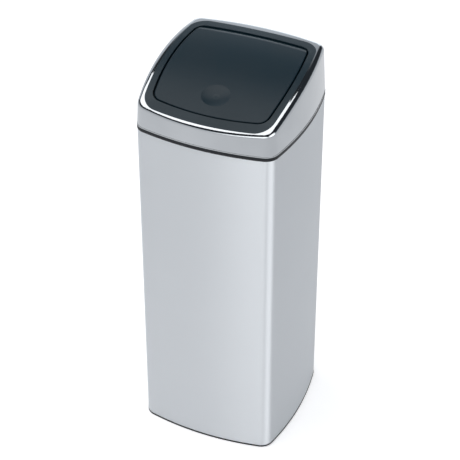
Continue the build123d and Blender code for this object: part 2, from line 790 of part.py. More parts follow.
with BuildPart() as lid_frame:
    with BuildSketch(Plane.XY.offset(housing_bottom)):
        add(frame_outline())
        add(aperture_outline(), mode=Mode.SUBTRACT)
    extrude(amount=tall - housing_bottom)
    crown(0, Mode.INTERSECT)
    crown(frame_plate, Mode.SUBTRACT)
    add(frame_flange_ring.part)
    add(frame_rim.part)
    # side walls that stand on the lid ring, with a boss in each corner
    with BuildSketch(Plane.XY.offset(housing_bottom)):
        add(frame_outline(-frame_wall_inset))
        add(frame_outline(-frame_wall_inset - frame_wall), mode=Mode.SUBTRACT)
    extrude(amount=tall - housing_bottom)
    with BuildSketch(Plane.XY.offset(housing_bottom)):
        with Locations(*boss_places):
            Circle(boss_radius)
    extrude(amount=boss_height)
    with BuildSketch(Plane.XY.offset(housing_bottom)):
        with Locations(*boss_places):
            Circle(screw_radius + running_gap)
    extrude(amount=boss_height - screw_head_height, mode=Mode.SUBTRACT)
    # deep wall behind the flap, and the shelf that carries the hinge ears
    with BuildSketch(Plane.XY.offset(shelf_bottom)):
        add(aperture_outline(rim_wall))
        add(aperture_outline(), mode=Mode.SUBTRACT)
        with Locations((0, axis_y - deep_wall_reach)):
            Rectangle(wide, wide, align=(Align.CENTER, Align.MIN), mode=Mode.INTERSECT)
    extrude(amount=tall - shelf_bottom)
    with BuildSketch(Plane.XY.offset(shelf_bottom)):
        add(aperture_outline(rim_wall / 2))
        with Locations((0, shelf_front)):
            Rectangle(2 * shelf_half, wide, align=(Align.CENTER, Align.MIN), mode=Mode.INTERSECT)
    extrude(amount=shelf_wall)
    for across in (-ear_across, 0, ear_across):
        with BuildSketch(Plane.YZ.offset(across - frame_ear_half)):
            with Locations((axis_y, (shelf_bottom + axis_z) / 2)):
                Rectangle(2 * ear_foot_half, axis_z - shelf_bottom)
            hinge_disc(knuckle_radius, axis_y, axis_z)
        extrude(amount=2 * frame_ear_half)
    # bracket for the damper
    with BuildSketch(Plane.YZ.offset(bracket_start)):
        with BuildLine():
            Polyline(
                (shelf_front, shelf_bottom),
                (axis_y, shelf_bottom),
                (axis_y, shelf_top),
                (pinion_y + bracket_half, shelf_top),
                (pinion_y + bracket_half, pinion_z + bracket_above),
                (pinion_y - bracket_half, pinion_z + bracket_above),
                (pinion_y - bracket_half, pinion_z - bracket_below),
                (shelf_front, pinion_z - bracket_below),
                close=True,
            )
        make_face()
        hinge_disc(shaft_radius + running_gap, pinion_y, pinion_z, Mode.SUBTRACT)
        for along in damper_screw_ys:
            hinge_disc(small_screw + running_gap, along, pinion_z, Mode.SUBTRACT)
    extrude(amount=bracket_wall)
    # shelf for the touch latch, hung from a deeper stretch of the front wall
    with BuildSketch(Plane.XY.offset(latch_shelf_top - latch_shelf_wall)):
        add(aperture_outline(rim_wall))
        with Locations((0, -latch_shelf_rear)):
            Rectangle(2 * latch_shelf_half, wide, align=(Align.CENTER, Align.MAX), mode=Mode.INTERSECT)
    extrude(amount=latch_shelf_wall)
    with BuildSketch(Plane.XY.offset(latch_shelf_top)):
        add(aperture_outline(rim_wall))
        add(aperture_outline(), mode=Mode.SUBTRACT)
        with Locations((0, -latch_shelf_rear)):
            Rectangle(2 * latch_shelf_half, wide, align=(Align.CENTER, Align.MAX), mode=Mode.INTERSECT)
    extrude(amount=tall - latch_shelf_top)
    # bore of the hinge ears, seat of the spring's leg, and holes of the latch
    with BuildSketch(Plane.YZ.offset(-wide / 2)):
        hinge_disc(rod_radius + running_gap, axis_y, axis_z)
    extrude(amount=wide, mode=Mode.SUBTRACT)
    with BuildSketch(Plane.XY.offset(shelf_top - spring_pocket)):
        with Locations((spring_start - spring_lean, axis_y - spring_mean)):
            Rectangle(4 * spring_wire, 2 * spring_wire)
    extrude(amount=spring_pocket, mode=Mode.SUBTRACT)
    with BuildSketch(Plane.XY.offset(latch_shelf_top - latch_shelf_wall)):
        with Locations((0, -latch_setback)):
            Circle(latch_radius + seat_gap)
        with Locations(*[(side * latch_screw_across, -latch_setback) for side in (-1, 1)]):
            Circle(screw_radius + running_gap)
    extrude(amount=latch_shelf_wall, mode=Mode.SUBTRACT)
    crown(0, Mode.INTERSECT)
lid_frame.part.label = "lid_frame"
export_step(lid_frame.part, "parts/lid_frame.step")

with BuildPart() as ledge_bumpers:
    with BuildSketch(Plane.XY.offset(housing_bottom)):
        with Locations(*[(side * bumper_across, bumper_inset - aperture_front) for side in (-1, 1)]):
            Circle(bumper_radius)
    extrude(amount=tall - housing_bottom)
    crown(flap_depth + part_gap, Mode.INTERSECT)
    crown(rim_depth - rim_ledge, Mode.SUBTRACT)
ledge_bumpers.part.label = "ledge_bumpers"
export_step(ledge_bumpers.part, "parts/ledge_bumpers.step")

# ---------------------------------------------------------------- flap

ear_places = (-ear_across, 0, ear_across)
notch_half = frame_ear_half + ear_notch
cover_screw_places = [
    (side * (aperture_half_width - cover_screw_side_inset), along)
    for side in (-1, 1)
    for along in (cover_screw_front_inset - aperture_front, aperture_rear - cover_screw_rear_inset)
]

liner_setback = flap_rear_rim - flap_rim  # of the hollow in the cover, and of the liner in it

# The hollow under the flap's skin, with a thicker rim at the rear.
with BuildPart() as cover_hollow:
    with BuildSketch(Plane.XY.offset(housing_bottom)):
        add(flap_outline(-flap_rim, liner_setback))
    extrude(amount=tall - housing_bottom)
    crown(flap_drop + flap_skin, Mode.INTERSECT)

with BuildPart() as cover_bosses:
    with BuildSketch(Plane.XY.offset(housing_bottom)):
        with Locations(*cover_screw_places):
            Circle(cover_boss)
            Circle(screw_radius + running_gap, mode=Mode.SUBTRACT)
    extrude(amount=tall - housing_bottom)
    crown(flap_drop + flap_skin / 2, Mode.INTERSECT)
    crown(liner_top - seat_gap, Mode.SUBTRACT)

# Notches in the rear rim and the liner, where the frame's ears pass.
with BuildPart() as ear_notches:
    with BuildSketch(Plane.XY.offset(shelf_bottom)):
        with Locations(*[(across, liner_rear) for across in ear_places]):
            Rectangle(2 * notch_half, wide, align=(Align.CENTER, Align.MIN))
    extrude(amount=tall - shelf_bottom)
    crown(flap_drop + flap_skin, Mode.INTERSECT)

# What is cut away above the rolled rear edge: it follows the edge's bow, level with the top.
roll_y = flap_rear - flap_rear_roll
roll_middle = Vector(0, roll_y, crown_height(roll_y, flap_drop + flap_rear_round))
roll_up = (roll_middle - Vector(0, crown_y, crown_z)).normalized()
roll_back = roll_up.cross(Vector(1, 0, 0))
rear_bow_radius = bow_radius(aperture_half_width - flap_gap - aperture_side_bow, aperture_rear_bow)

with BuildPart() as rear_roll_room:
    with BuildSketch(Plane.YZ):
        with Locations((roll_y, roll_middle.Z)):
            Rectangle(2 * flap_rear_round, 2 * flap_rear_round, align=Align.MIN)
            Circle(flap_rear_round, mode=Mode.SUBTRACT)
    revolve(axis=Axis(roll_middle - roll_back * (rear_bow_radius - flap_rear_roll), roll_up))

dish_ball = (dish_radius**2 + dish_depth**2) / (2 * dish_depth)
dish_tilt = math.degrees(math.asin((crown_y + dish_setback) / crown_radius))
dish_plane = Plane(
    origin=(0, -dish_setback, crown_height(-dish_setback, flap_drop)), x_dir=(1, 0, 0)
).rotated((dish_tilt, 0, 0))

with BuildPart() as flap_cover:
    with BuildSketch(Plane.XY.offset(housing_bottom)):
        add(flap_outline())
    extrude(amount=tall - housing_bottom)
    crown(flap_drop, Mode.INTERSECT)
    crown(flap_depth, Mode.SUBTRACT)
    fillet(flap_cover.faces().sort_by(Axis.Z)[-1].edges(), flap_edge_round)
    add(rear_roll_room.part, mode=Mode.SUBTRACT)
    add(cover_hollow.part, mode=Mode.SUBTRACT)
    # boss of the dish, then the dish itself
    with BuildSketch(dish_plane.offset(-dish_depth - dish_wall)):
        Circle(dish_radius)
    extrude(amount=dish_depth)
    with Locations(dish_plane.offset(dish_ball - dish_depth)):
        Sphere(dish_ball, mode=Mode.SUBTRACT)
    add(cover_bosses.part)
    add(ear_notches.part, mode=Mode.SUBTRACT)
flap_cover.part.label = "flap_cover"
export_step(flap_cover.part, "parts/flap_cover.step")

knuckle_starts = (-knuckle_inner - knuckle_width, knuckle_inner)
sector_foot_from = gear_start + gear_face_width
sector_screw_place = (sector_foot_from + sector_foot_width / 2, sector_foot_start + sector_foot_length / 2)
strike_screw_places = [(side * strike_screw_offset, -latch_setback) for side in (-1, 1)]

with BuildPart() as flap_liner:
    with BuildSketch(Plane.XY.offset(housing_bottom)):
        add(flap_outline(-flap_rim - seat_gap, liner_setback))
        with Locations((0, liner_rear)):
            Rectangle(wide, wide, align=(Align.CENTER, Align.MAX), mode=Mode.INTERSECT)
    extrude(amount=tall - housing_bottom)
    crown(liner_top, Mode.INTERSECT)
    # boss for the sector's screw
    with BuildSketch(Plane.XY.offset(liner_boss_bottom)):
        with Locations(sector_screw_place):
            Circle(cover_boss)
    extrude(amount=tall - liner_boss_bottom)
    crown(flap_drop + flap_skin + part_gap, Mode.INTERSECT)
    crown(liner_bottom, Mode.SUBTRACT)
    # arms that reach back to the hinge rod
    for across in knuckle_starts:
        with BuildSketch(Plane.YZ.offset(across)):
            with Locations((axis_y, axis_z)):
                Rectangle(
                    axis_y - liner_rear + knuckle_radius,
                    knuckle_radius,
                    align=(Align.MAX, Align.CENTER),
                )
            hinge_disc(knuckle_radius, axis_y, axis_z)
        extrude(amount=knuckle_width)
    with BuildSketch(Plane.YZ.offset(-rod_half)):
        hinge_disc(rod_radius + running_gap, axis_y, axis_z)
    extrude(amount=2 * rod_half, mode=Mode.SUBTRACT)
    # level pad over the latch, for the strike plate
    with BuildSketch(Plane.XY.offset(strike_height)):
        with Locations((0, -latch_setback)):
            Rectangle(strike_pad_length, strike_pad_width)
    extrude(amount=crown_height(-latch_setback, liner_bottom) - strike_height)
    # holes for the screws
    with BuildSketch(Plane.XY.offset(housing_bottom)):
        with Locations(*cover_screw_places):
            Circle(screw_radius + seat_gap)
    extrude(amount=tall - housing_bottom, mode=Mode.SUBTRACT)
    with BuildSketch(Plane.XY.offset(housing_bottom)):
        with Locations(sector_screw_place):
            Circle(screw_radius + running_gap)
        with Locations(*strike_screw_places):
            Circle(small_screw + running_gap)
    extrude(amount=tall - housing_bottom, mode=Mode.SUBTRACT)
flap_liner.part.label = "flap_liner"
export_step(flap_liner.part, "parts/flap_liner.step")

with BuildPart() as flap_screws:
    for across, along in cover_screw_places:
        head_top = crown_height(along - screw_head, liner_bottom) - seat_gap
        tip = crown_height(along - screw_radius, flap_drop + flap_skin) - part_gap
        with BuildSketch(Plane.XY.offset(head_top - screw_head_height)):
            with Locations((across, along)):
                Circle(screw_head)
        extrude(amount=screw_head_height)
        with BuildSketch(Plane.XY.offset(head_top)):
            with Locations((across, along)):
                Circle(screw_radius)
        extrude(amount=tip - head_top)
flap_screws.part.label = "flap_screws"
export_step(flap_screws.part, "parts/flap_screws.step")

with BuildPart() as flap_hinge_rod:
    with BuildSketch(Plane.YZ.offset(-rod_half)):
        hinge_disc(rod_radius, axis_y, axis_z)
    extrude(amount=2 * rod_half)
flap_hinge_rod.part.label = "flap_hinge_rod"
export_step(flap_hinge_rod.part, "parts/flap_hinge_rod.step")

# ---------------------------------------------------------------- strike plate under the flap

with BuildPart() as strike_plate:
    with BuildSketch(Plane.XY.offset(strike_height)):
        with Locations((0, -latch_setback)):
            Rectangle(strike_pad_length, strike_pad_width)
        with Locations(*strike_screw_places):
            Circle(small_screw + seat_gap, mode=Mode.SUBTRACT)
    extrude(amount=-strike_wall)
strike_plate.part.label = "strike_plate"
export_step(strike_plate.part, "parts/strike_plate.step")

with BuildPart() as strike_screws:
    with BuildSketch(Plane.XY.offset(strike_height - strike_wall)):
        with Locations(*strike_screw_places):
            Circle(small_screw_head)
    extrude(amount=-small_screw_head_height)
    with BuildSketch(Plane.XY.offset(strike_height - strike_wall)):
        with Locations(*strike_screw_places):
            Circle(small_screw)
    extrude(amount=strike_wall + strike_screw_length)
strike_screws.part.label = "strike_screws"
export_step(strike_screws.part, "parts/strike_screws.step")

# ---------------------------------------------------------------- damper and its gears


def involute(angle):
    """Involute function of an angle in radians."""
    return math.tan(angle) - angle


def gear_outline(teeth, turn):
    """A spur gear about the origin, with a tooth at the angle turn."""
    pitch_radius = gear_module * teeth / 2
    base_radius = pitch_radius * math.cos(math.radians(pressure_angle))
    tip_radius = pitch_radius + addendum * gear_module
    root_radius = pitch_radius - dedendum * gear_module
    half_tooth = (math.pi * gear_module / 2 - tooth_thinning) / (2 * pitch_radius)
    flank = []
    for step in range(flank_points + 1):
        radius = base_radius + (tip_radius - base_radius) * step / flank_points
        slope = math.acos(base_radius / radius)
        flank.append((radius, half_tooth + involute(math.radians(pressure_angle)) - involute(slope)))
    if root_radius < base_radius:
        flank.insert(0, (root_radius, flank[0][1]))
    points = []
    for tooth in range(teeth):
        middle = math.radians(turn + 360 * tooth / teeth)
        for radius, half in flank:
            points.append((radius * math.cos(middle - half), radius * math.sin(middle - half)))
        for radius, half in reversed(flank):
            points.append((radius * math.cos(middle + half), radius * math.sin(middle + half)))
    with BuildSketch() as outline:
        with BuildLine():
            Polyline(*points, close=True)
        make_face()
    return outline.sketch


def around(radius, angle):
    """The point at a radius and an angle in degrees about the origin."""
    return (radius * math.cos(math.radians(angle)), radius * math.sin(math.radians(angle)))


sector_screw_top = crown_height(sector_foot_start, liner_bottom + sector_foot_wall + seat_gap)

with BuildPart() as gear_sector:
    # foot that is screwed to the liner, and the arm from it to the hub
    with BuildSketch(Plane.YZ.offset(gear_start)):
        with Locations((sector_foot_start, axis_z - sector_arm_drop)):
            Rectangle(axis_y - sector_foot_start, wide, align=(Align.MIN, Align.MIN))
    extrude(amount=gear_face_width)
    with BuildSketch(Plane.XY.offset(housing_bottom)):
        with Locations((sector_foot_from, sector_foot_start)):
            Rectangle(sector_foot_width, sector_foot_length, align=(Align.MIN, Align.MIN))
    extrude(amount=tall - housing_bottom)
    crown(liner_bottom + seat_gap, Mode.INTERSECT)
    with BuildSketch(Plane.XY.offset(housing_bottom)):
        with Locations((sector_foot_from, sector_foot_start)):
            Rectangle(sector_foot_width, sector_foot_length, align=(Align.MIN, Align.MIN))
    extrude(amount=sector_screw_top - housing_bottom, mode=Mode.SUBTRACT)
    with BuildSketch(Plane.XY.offset(housing_bottom)):
        with Locations(sector_screw_place):
            Circle(screw_radius + seat_gap)
    extrude(amount=tall - housing_bottom, mode=Mode.SUBTRACT)
    with BuildSketch(Plane.YZ.offset(gear_start)):
        with Locations((axis_y, axis_z)):
            add(gear_outline(sector_teeth, mesh_angle))
            Polygon(
                (0, 0),
                around(wide, sector_from),
                around(wide, (sector_from + sector_to) / 2),
                around(wide, sector_to),
                align=None,
                mode=Mode.INTERSECT,
            )
            Circle(knuckle_radius)
    extrude(amount=gear_face_width)
    with BuildSketch(Plane.YZ.offset(gear_start)):
        hinge_disc(rod_radius + running_gap, axis_y, axis_z)
    extrude(amount=gear_face_width, mode=Mode.SUBTRACT)
gear_sector.part.label = "gear_sector"
export_step(gear_sector.part, "parts/gear_sector.step")

with BuildPart() as sector_screw:
    with BuildSketch(Plane.XY.offset(sector_screw_top)):
        with Locations(sector_screw_place):
            Circle(screw_head)
    extrude(amount=-screw_head_height)
    with BuildSketch(Plane.XY.offset(sector_screw_top)):
        with Locations(sector_screw_place):
            Circle(screw_radius)
    extrude(amount=sector_screw_length)
sector_screw.part.label = "sector_screw"
export_step(sector_screw.part, "parts/sector_screw.step")

pinion_turn = mesh_angle + 180 + 180 / pinion_teeth
damper_start = bracket_start - damper_length

with BuildPart() as damper_pinion:
    with BuildSketch(Plane.YZ.offset(pinion_start)):
        with Locations((pinion_y, pinion_z)):
            add(gear_outline(pinion_teeth, pinion_turn))
    extrude(amount=pinion_face_width)
    with BuildSketch(Plane.YZ.offset(pinion_start)):
        hinge_disc(shaft_radius, pinion_y, pinion_z)
    extrude(amount=-shaft_length)
damper_pinion.part.label = "damper_pinion"
export_step(damper_pinion.part, "parts/damper_pinion.step")

with BuildPart() as damper_body:
    with BuildSketch(Plane.YZ.offset(damper_start)):
        hinge_disc(damper_radius, pinion_y, pinion_z)
    extrude(amount=damper_length)
    with BuildSketch(Plane.YZ.offset(bracket_start)):
        with Locations((pinion_y, pinion_z)):
            SlotCenterToCenter(2 * damper_screw_reach, 2 * damper_ear)
            with Locations((-damper_screw_reach, 0), (damper_screw_reach, 0)):
                Circle(small_screw + seat_gap, mode=Mode.SUBTRACT)
    extrude(amount=-damper_flange)
    with BuildSketch(Plane.YZ.offset(bracket_start)):
        hinge_disc(shaft_radius + running_gap, pinion_y, pinion_z)
    extrude(amount=pinion_start - shaft_length - part_gap - bracket_start, mode=Mode.SUBTRACT)
    chamfer(damper_body.faces().sort_by(Axis.X)[0].edges(), damper_flange / 2)
damper_body.part.label = "damper_body"
export_step(damper_body.part, "parts/damper_body.step")

with BuildPart() as damper_screws:
    for along in damper_screw_ys:
        with BuildSketch(Plane.YZ.offset(bracket_start - damper_flange)):
            hinge_disc(small_screw_head, along, pinion_z)
        extrude(amount=-small_screw_head_height)
        with BuildSketch(Plane.YZ.offset(bracket_start - damper_flange)):
            hinge_disc(small_screw, along, pinion_z)
        extrude(amount=damper_flange + bracket_wall)
damper_screws.part.label = "damper_screws"
export_step(damper_screws.part, "parts/damper_screws.step")

# ---------------------------------------------------------------- springs


def biarc(start, start_way, end, end_way):
    """Two arcs that leave start along start_way, meet smoothly and reach end along end_way."""
    chord = end - start
    twist = 2 * (1 - start_way.dot(end_way))
    lead = 2 * chord.dot(start_way + end_way)
    reach = (math.sqrt(lead**2 + 4 * twist * chord.dot(chord)) - lead) / (2 * twist)
    first_corner = start + start_way * reach
    second_corner = end - end_way * reach
    middle = (first_corner + second_corner) / 2
    TangentArc(start, middle, tangent=start_way)
    TangentArc(middle, end, tangent=second_corner - first_corner)


def coil(origin, axis, from_way, radius, pitch, turns, hand):
    """A helix in quarter turns about axis; from_way points to its start, hand 1 is right."""
    side_way = axis.cross(from_way) * hand
    stations = []
    for quarter in range(round(4 * turns) + 1):
        angle = math.pi / 2 * quarter
        out = from_way * math.cos(angle) + side_way * math.sin(angle)
        around_way = side_way * math.cos(angle) - from_way * math.sin(angle)
        place = origin + axis * (pitch * quarter / 4) + out * radius
        stations.append((place, (around_way * radius + axis * (pitch / (2 * math.pi))).normalized()))
    for (start, start_way), (end, end_way) in zip(stations, stations[1:]):
        biarc(start, start_way, end, end_way)
    return stations


def least_gap(wire_path, wire, radius):
    """Least gap of a wound wire to itself, on points that are half a turn or more apart."""
    points = [wire_path @ (step / gap_points) for step in range(gap_points + 1)]
    apart = math.ceil(math.pi * radius * gap_points / wire_path.length)
    gaps = []
    for first in range(gap_points + 1 - apart):
        for second in range(first + apart, gap_points + 1):
            gaps.append((points[second] - points[first]).length - wire)
    return min(gaps)


with BuildPart() as flap_spring:
    with BuildLine() as spring_path:
        spring_stations = coil(
            Vector(spring_start, axis_y, axis_z),
            Vector(1, 0, 0),
            Vector(0, -1, 0),
            spring_mean,
            spring_pitch,
            spring_turns,
            -1,
        )
        first_place, first_way = spring_stations[0]
        last_place, last_way = spring_stations[-1]
        Line(first_place - first_way * spring_leg_down, first_place)
        Line(last_place, last_place + last_way * spring_leg_forward)
    spring_wire_path = spring_path.wires()[0]
    with BuildSketch(Plane(first_place - first_way * spring_leg_down, z_dir=first_way)):
        Circle(spring_wire / 2)
    sweep(path=spring_wire_path)
flap_spring.part.label = "flap_spring"
export_step(flap_spring.part, "parts/flap_spring.step")
print("flap_spring least gap", round(least_gap(spring_wire_path, spring_wire, spring_mean), 3))

# ---------------------------------------------------------------- touch latch

latch_screw_places = [(side * latch_screw_across, -latch_setback) for side in (-1, 1)]
latch_cap_top = latch_bottom + latch_cap_height
plunger_foot_top = latch_shelf_top - part_gap
plunger_foot_bottom = plunger_foot_top - plunger_foot_height

with BuildPart() as latch_housing:
    with BuildSketch(Plane.XY.offset(latch_bottom)):
        with Locations((0, -latch_setback)):
            Circle(latch_radius)
    extrude(amount=latch_height)
    with BuildSketch(Plane.XY.offset(latch_shelf_top)):
        with Locations((0, -latch_setback)):
            RectangleRounded(latch_flange_length, latch_flange_width, screw_head)
        with Locations(*latch_screw_places):
            Circle(screw_radius + seat_gap, mode=Mode.SUBTRACT)
    extrude(amount=latch_flange_wall)
    with BuildSketch(Plane.XY.offset(latch_bottom)):
        with Locations((0, -latch_setback)):
            Circle(latch_bore)
    extrude(amount=latch_height - latch_guide, mode=Mode.SUBTRACT)
    with BuildSketch(Plane.XY.offset(latch_shelf_top)):
        with Locations((0, -latch_setback)):
            Circle(plunger_stem + running_gap)
    extrude(amount=latch_guide, mode=Mode.SUBTRACT)
latch_housing.part.label = "latch_housing"
export_step(latch_housing.part, "parts/latch_housing.step")

with BuildPart() as latch_cap:
    with BuildSketch(Plane.XY.offset(latch_bottom)):
        with Locations((0, -latch_setback)):
            Circle(latch_bore - seat_gap)
    extrude(amount=latch_cap_height)
latch_cap.part.label = "latch_cap"
export_step(latch_cap.part, "parts/latch_cap.step")

with BuildPart() as latch_screws:
    with BuildSketch(Plane.XY.offset(latch_shelf_top + latch_flange_wall)):
        with Locations(*latch_screw_places):
            Circle(latch_screw_head)
    extrude(amount=screw_head_height)
    with BuildSketch(Plane.XY.offset(latch_shelf_top + latch_flange_wall)):
        with Locations(*latch_screw_places):
            Circle(screw_radius)
    extrude(amount=-latch_flange_wall - latch_shelf_wall)
latch_screws.part.label = "latch_screws"
export_step(latch_screws.part, "parts/latch_screws.step")

with BuildPart() as latch_plunger:
    with BuildSketch(Plane.XY.offset(plunger_foot_bottom)):
        with Locations((0, -latch_setback)):
            Circle(plunger_stem)
    extrude(amount=plunger_top - plunger_foot_bottom)
    with BuildSketch(Plane.XY.offset(plunger_foot_bottom)):
        with Locations((0, -latch_setback)):
            Circle(plunger_foot)
    extrude(amount=plunger_foot_height)
    with BuildSketch(Plane.XY.offset(plunger_shoulder)):
        with Locations((0, -latch_setback)):
            Circle(plunger_head)
    extrude(amount=plunger_head_height)
    with BuildSketch(Plane.XY.offset(plunger_top)):
        with Locations((0, -latch_setback)):
            Circle(magnet_radius + running_gap)
    extrude(amount=-magnet_depth, mode=Mode.SUBTRACT)
latch_plunger.part.label = "latch_plunger"
export_step(latch_plunger.part, "parts/latch_plunger.step")

with BuildPart() as latch_magnet:
    with BuildSketch(Plane.XY.offset(plunger_top - seat_gap)):
        with Locations((0, -latch_setback)):
            Circle(magnet_radius)
    extrude(amount=seat_gap - magnet_depth)
latch_magnet.part.label = "latch_magnet"
export_step(latch_magnet.part, "parts/latch_magnet.step")

latch_spring_bottom = latch_cap_top + latch_spring_gap + latch_spring_wire / 2
latch_spring_top = plunger_foot_bottom - latch_spring_gap - latch_spring_wire / 2

with BuildPart() as latch_spring:
    with BuildLine() as latch_spring_path:
        latch_stations = coil(
            Vector(0, -latch_setback, latch_spring_bottom),
            Vector(0, 0, 1),
            Vector(1, 0, 0),
            latch_spring_mean,
            (latch_spring_top - latch_spring_bottom) / latch_spring_turns,
            latch_spring_turns,
            1,
        )
    latch_wire_path = latch_spring_path.wires()[0]
    with BuildSketch(Plane(latch_stations[0][0], z_dir=latch_stations[0][1])):
        Circle(latch_spring_wire / 2)
    sweep(path=latch_wire_path)
latch_spring.part.label = "latch_spring"
export_step(latch_spring.part, "parts/latch_spring.step")
print("latch_spring least gap", round(least_gap(latch_wire_path, latch_spring_wire, latch_spring_mean), 3))
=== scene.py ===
"""Touch-top kitchen bin: finishes, floor, world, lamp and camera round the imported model. Metres."""

import json
import math

import bpy
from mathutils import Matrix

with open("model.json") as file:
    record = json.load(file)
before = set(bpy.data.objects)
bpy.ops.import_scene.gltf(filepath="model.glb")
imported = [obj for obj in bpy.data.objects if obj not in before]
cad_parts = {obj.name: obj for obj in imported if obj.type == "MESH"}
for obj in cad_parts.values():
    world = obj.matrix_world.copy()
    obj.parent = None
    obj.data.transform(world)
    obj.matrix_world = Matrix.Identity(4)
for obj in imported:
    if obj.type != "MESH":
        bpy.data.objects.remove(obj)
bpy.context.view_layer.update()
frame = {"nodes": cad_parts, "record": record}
nodes = frame["nodes"]

# ---------------------------------------------------------------- camera, floor and light

# the camera, found by fitting the model's edges to the photograph
CAMERA_PLACE = (0.823, -1.884, 1.871)
CAMERA_TURN = 23.70  # degrees to the right of straight in front
CAMERA_DROP = 36.75  # degrees below level
CAMERA_LENS = 128.27  # millimetres, as the sensor
SENSOR_WIDTH = 36.0

FLOOR_HALF = 6.0
FLOOR_TONE = (0.80, 0.80, 0.81)
FLOOR_GLOW = 0.56  # added to the floor where the camera sees it
FLOOR_GLOW_IN_METAL = 0.30  # added where metal and gloss see it

BACKDROP_TONE = (1.0, 1.0, 1.0)
# even light from all round, for what is matt
SOFT_TONE = (0.93, 0.96, 1.0)
SOFT_STRENGTH = 0.45

# what metal and gloss see of the room: walls that are pale at the horizon and dark above it
WALL_TONE = (0.030, 0.036, 0.042)
HORIZON_TONE = (0.80, 0.83, 0.86)
HORIZON_FOOT = 0.04  # as the height of a ray one metre long
HORIZON_TOP = 0.34

# soft panels in that room: the way to the middle, cosine at the edge and where full, tone
PANELS = (
    ((-0.62, 0.76, 0.17), 0.78, 0.94, (0.75, 0.79, 0.84)),
    ((-0.32, 0.93, 0.17), 0.94, 0.98, (1.6, 1.7, 1.8)),
    ((0.89, -0.40, 0.21), 0.84, 0.98, (2.5, 2.53, 2.56)),
    ((0.21, -0.97, -0.05), 0.84, 0.98, (2.6, 2.63, 2.66)),
)

LAMP_PLACE = (-0.66, -0.22, 2.69)
LAMP_TARGET = (0.0, 0.0, 0.6)
LAMP_SIZE = 2.4
LAMP_WATTS = 36.0

# ---------------------------------------------------------------- relief and patches

BRUSHING_HEIGHT = 0.0002  # of the relief; each finish gives the strength of it as its depth
GRAIN_HEIGHT = 0.0001
POLISHING_DEPTH = 0.02
CELLS_IN_GRAIN = 0.5  # how far the grain's cells count beside its pits
STREAKS_IN_PATCH = 0.35  # how far the streaks tint brushed steel where a patch is strongest
PATCH_ON_PLASTIC = 0.86  # the tone of a patch, as a share of the plastic's own

# ---------------------------------------------------------------- node helpers


def add_node(tree, kind, **values):
    """A new node, with its settings and the defaults of its named inputs."""
    node = tree.nodes.new(kind)
    for name, value in values.items():
        if name in node.inputs:
            node.inputs[name].default_value = value
        else:
            setattr(node, name, value)
    return node


def calculate(tree, operation, value, factor, added=None):
    """Math on a socket: times a number or another socket, and plus a third where asked."""
    node = add_node(tree, "ShaderNodeMath", operation=operation)
    for given, target in zip((value, factor, added), node.inputs):
        if isinstance(given, bpy.types.NodeSocket):
            tree.links.new(given, target)
        elif given is not None:
            target.default_value = given
    return node.outputs["Value"]


def map_range(tree, value, start, end, low=0.0, high=1.0, easing="LINEAR"):
    """low where the value is at start, high where it is at end."""
    node = add_node(tree, "ShaderNodeMapRange", interpolation_type=easing)
    ends = {"From Min": start, "From Max": end, "To Min": low, "To Max": high}
    for socket, number in ends.items():
        node.inputs[socket].default_value = number
    tree.links.new(value, node.inputs["Value"])
    return node.outputs["Result"]


def mix_colours(tree, mask, first, second):
    """first where the mask is 0, second where it is 1; each is a colour or a socket."""
    mixer = add_node(tree, "ShaderNodeMix", data_type="RGBA")
    tree.links.new(mask, mixer.inputs["Factor"])
    for socket, colour in (("A", first), ("B", second)):
        target = next(i for i in mixer.inputs if i.name == socket and i.type == "RGBA")
        if isinstance(colour, bpy.types.NodeSocket):
            tree.links.new(colour, target)
        else:
            target.default_value = (*colour, 1.0)
    return next(o for o in mixer.outputs if o.type == "RGBA")


# ---------------------------------------------------------------- effects


def new_group(name, **inputs):
    """A node group with float inputs that have defaults, and a mask as its result."""
    group = bpy.data.node_groups.new(name, "ShaderNodeTree")
    for socket, value in inputs.items():
        made = group.interface.new_socket(socket, in_out="INPUT", socket_type="NodeSocketFloat")
        made.default_value = value
    group.interface.new_socket("Mask", in_out="OUTPUT", socket_type="NodeSocketFloat")
    return group, group.nodes.new("NodeGroupInput"), group.nodes.new("NodeGroupOutput")


def brushed_lines():
    """Fine level brushing: long thin streaks round the body, as a mask about 0.5."""
    group, given, result = new_group("brushed_lines", Along=6.0, Across=900.0)
    links = group.links
    place = group.nodes.new("ShaderNodeTexCoord")
    stretch = group.nodes.new("ShaderNodeCombineXYZ")
    for axis, way in (("X", "Along"), ("Y", "Along"), ("Z", "Across")):
        links.new(given.outputs[way], stretch.inputs[axis])
    scaled = add_node(group, "ShaderNodeVectorMath", operation="MULTIPLY")
    links.new(place.outputs["Object"], scaled.inputs[0])
    links.new(stretch.outputs["Vector"], scaled.inputs[1])
    streaks = add_node(group, "ShaderNodeTexNoise", Scale=1.0, Detail=5.0, Roughness=0.65)
    links.new(scaled.outputs["Vector"], streaks.inputs["Vector"])
    links.new(streaks.outputs["Fac"], result.inputs["Mask"])
    return group


def moulded_grain():
    """The fine pitted grain of moulded plastic, as a mask."""
    group, given, result = new_group("moulded_grain", Scale=2200.0)
    links = group.links
    place = group.nodes.new("ShaderNodeTexCoord")
    cells = add_node(group, "ShaderNodeTexVoronoi", feature="SMOOTH_F1", Smoothness=0.6)
    pits = add_node(group, "ShaderNodeTexNoise", Detail=3.0, Roughness=0.6)
    for texture in (cells, pits):
        links.new(place.outputs["Object"], texture.inputs["Vector"])
        links.new(given.outputs["Scale"], texture.inputs["Scale"])
    mixed = calculate(
        group, "MULTIPLY_ADD", cells.outputs["Distance"], CELLS_IN_GRAIN, pits.outputs["Fac"]
    )
    links.new(mixed, result.inputs["Mask"])
    return group


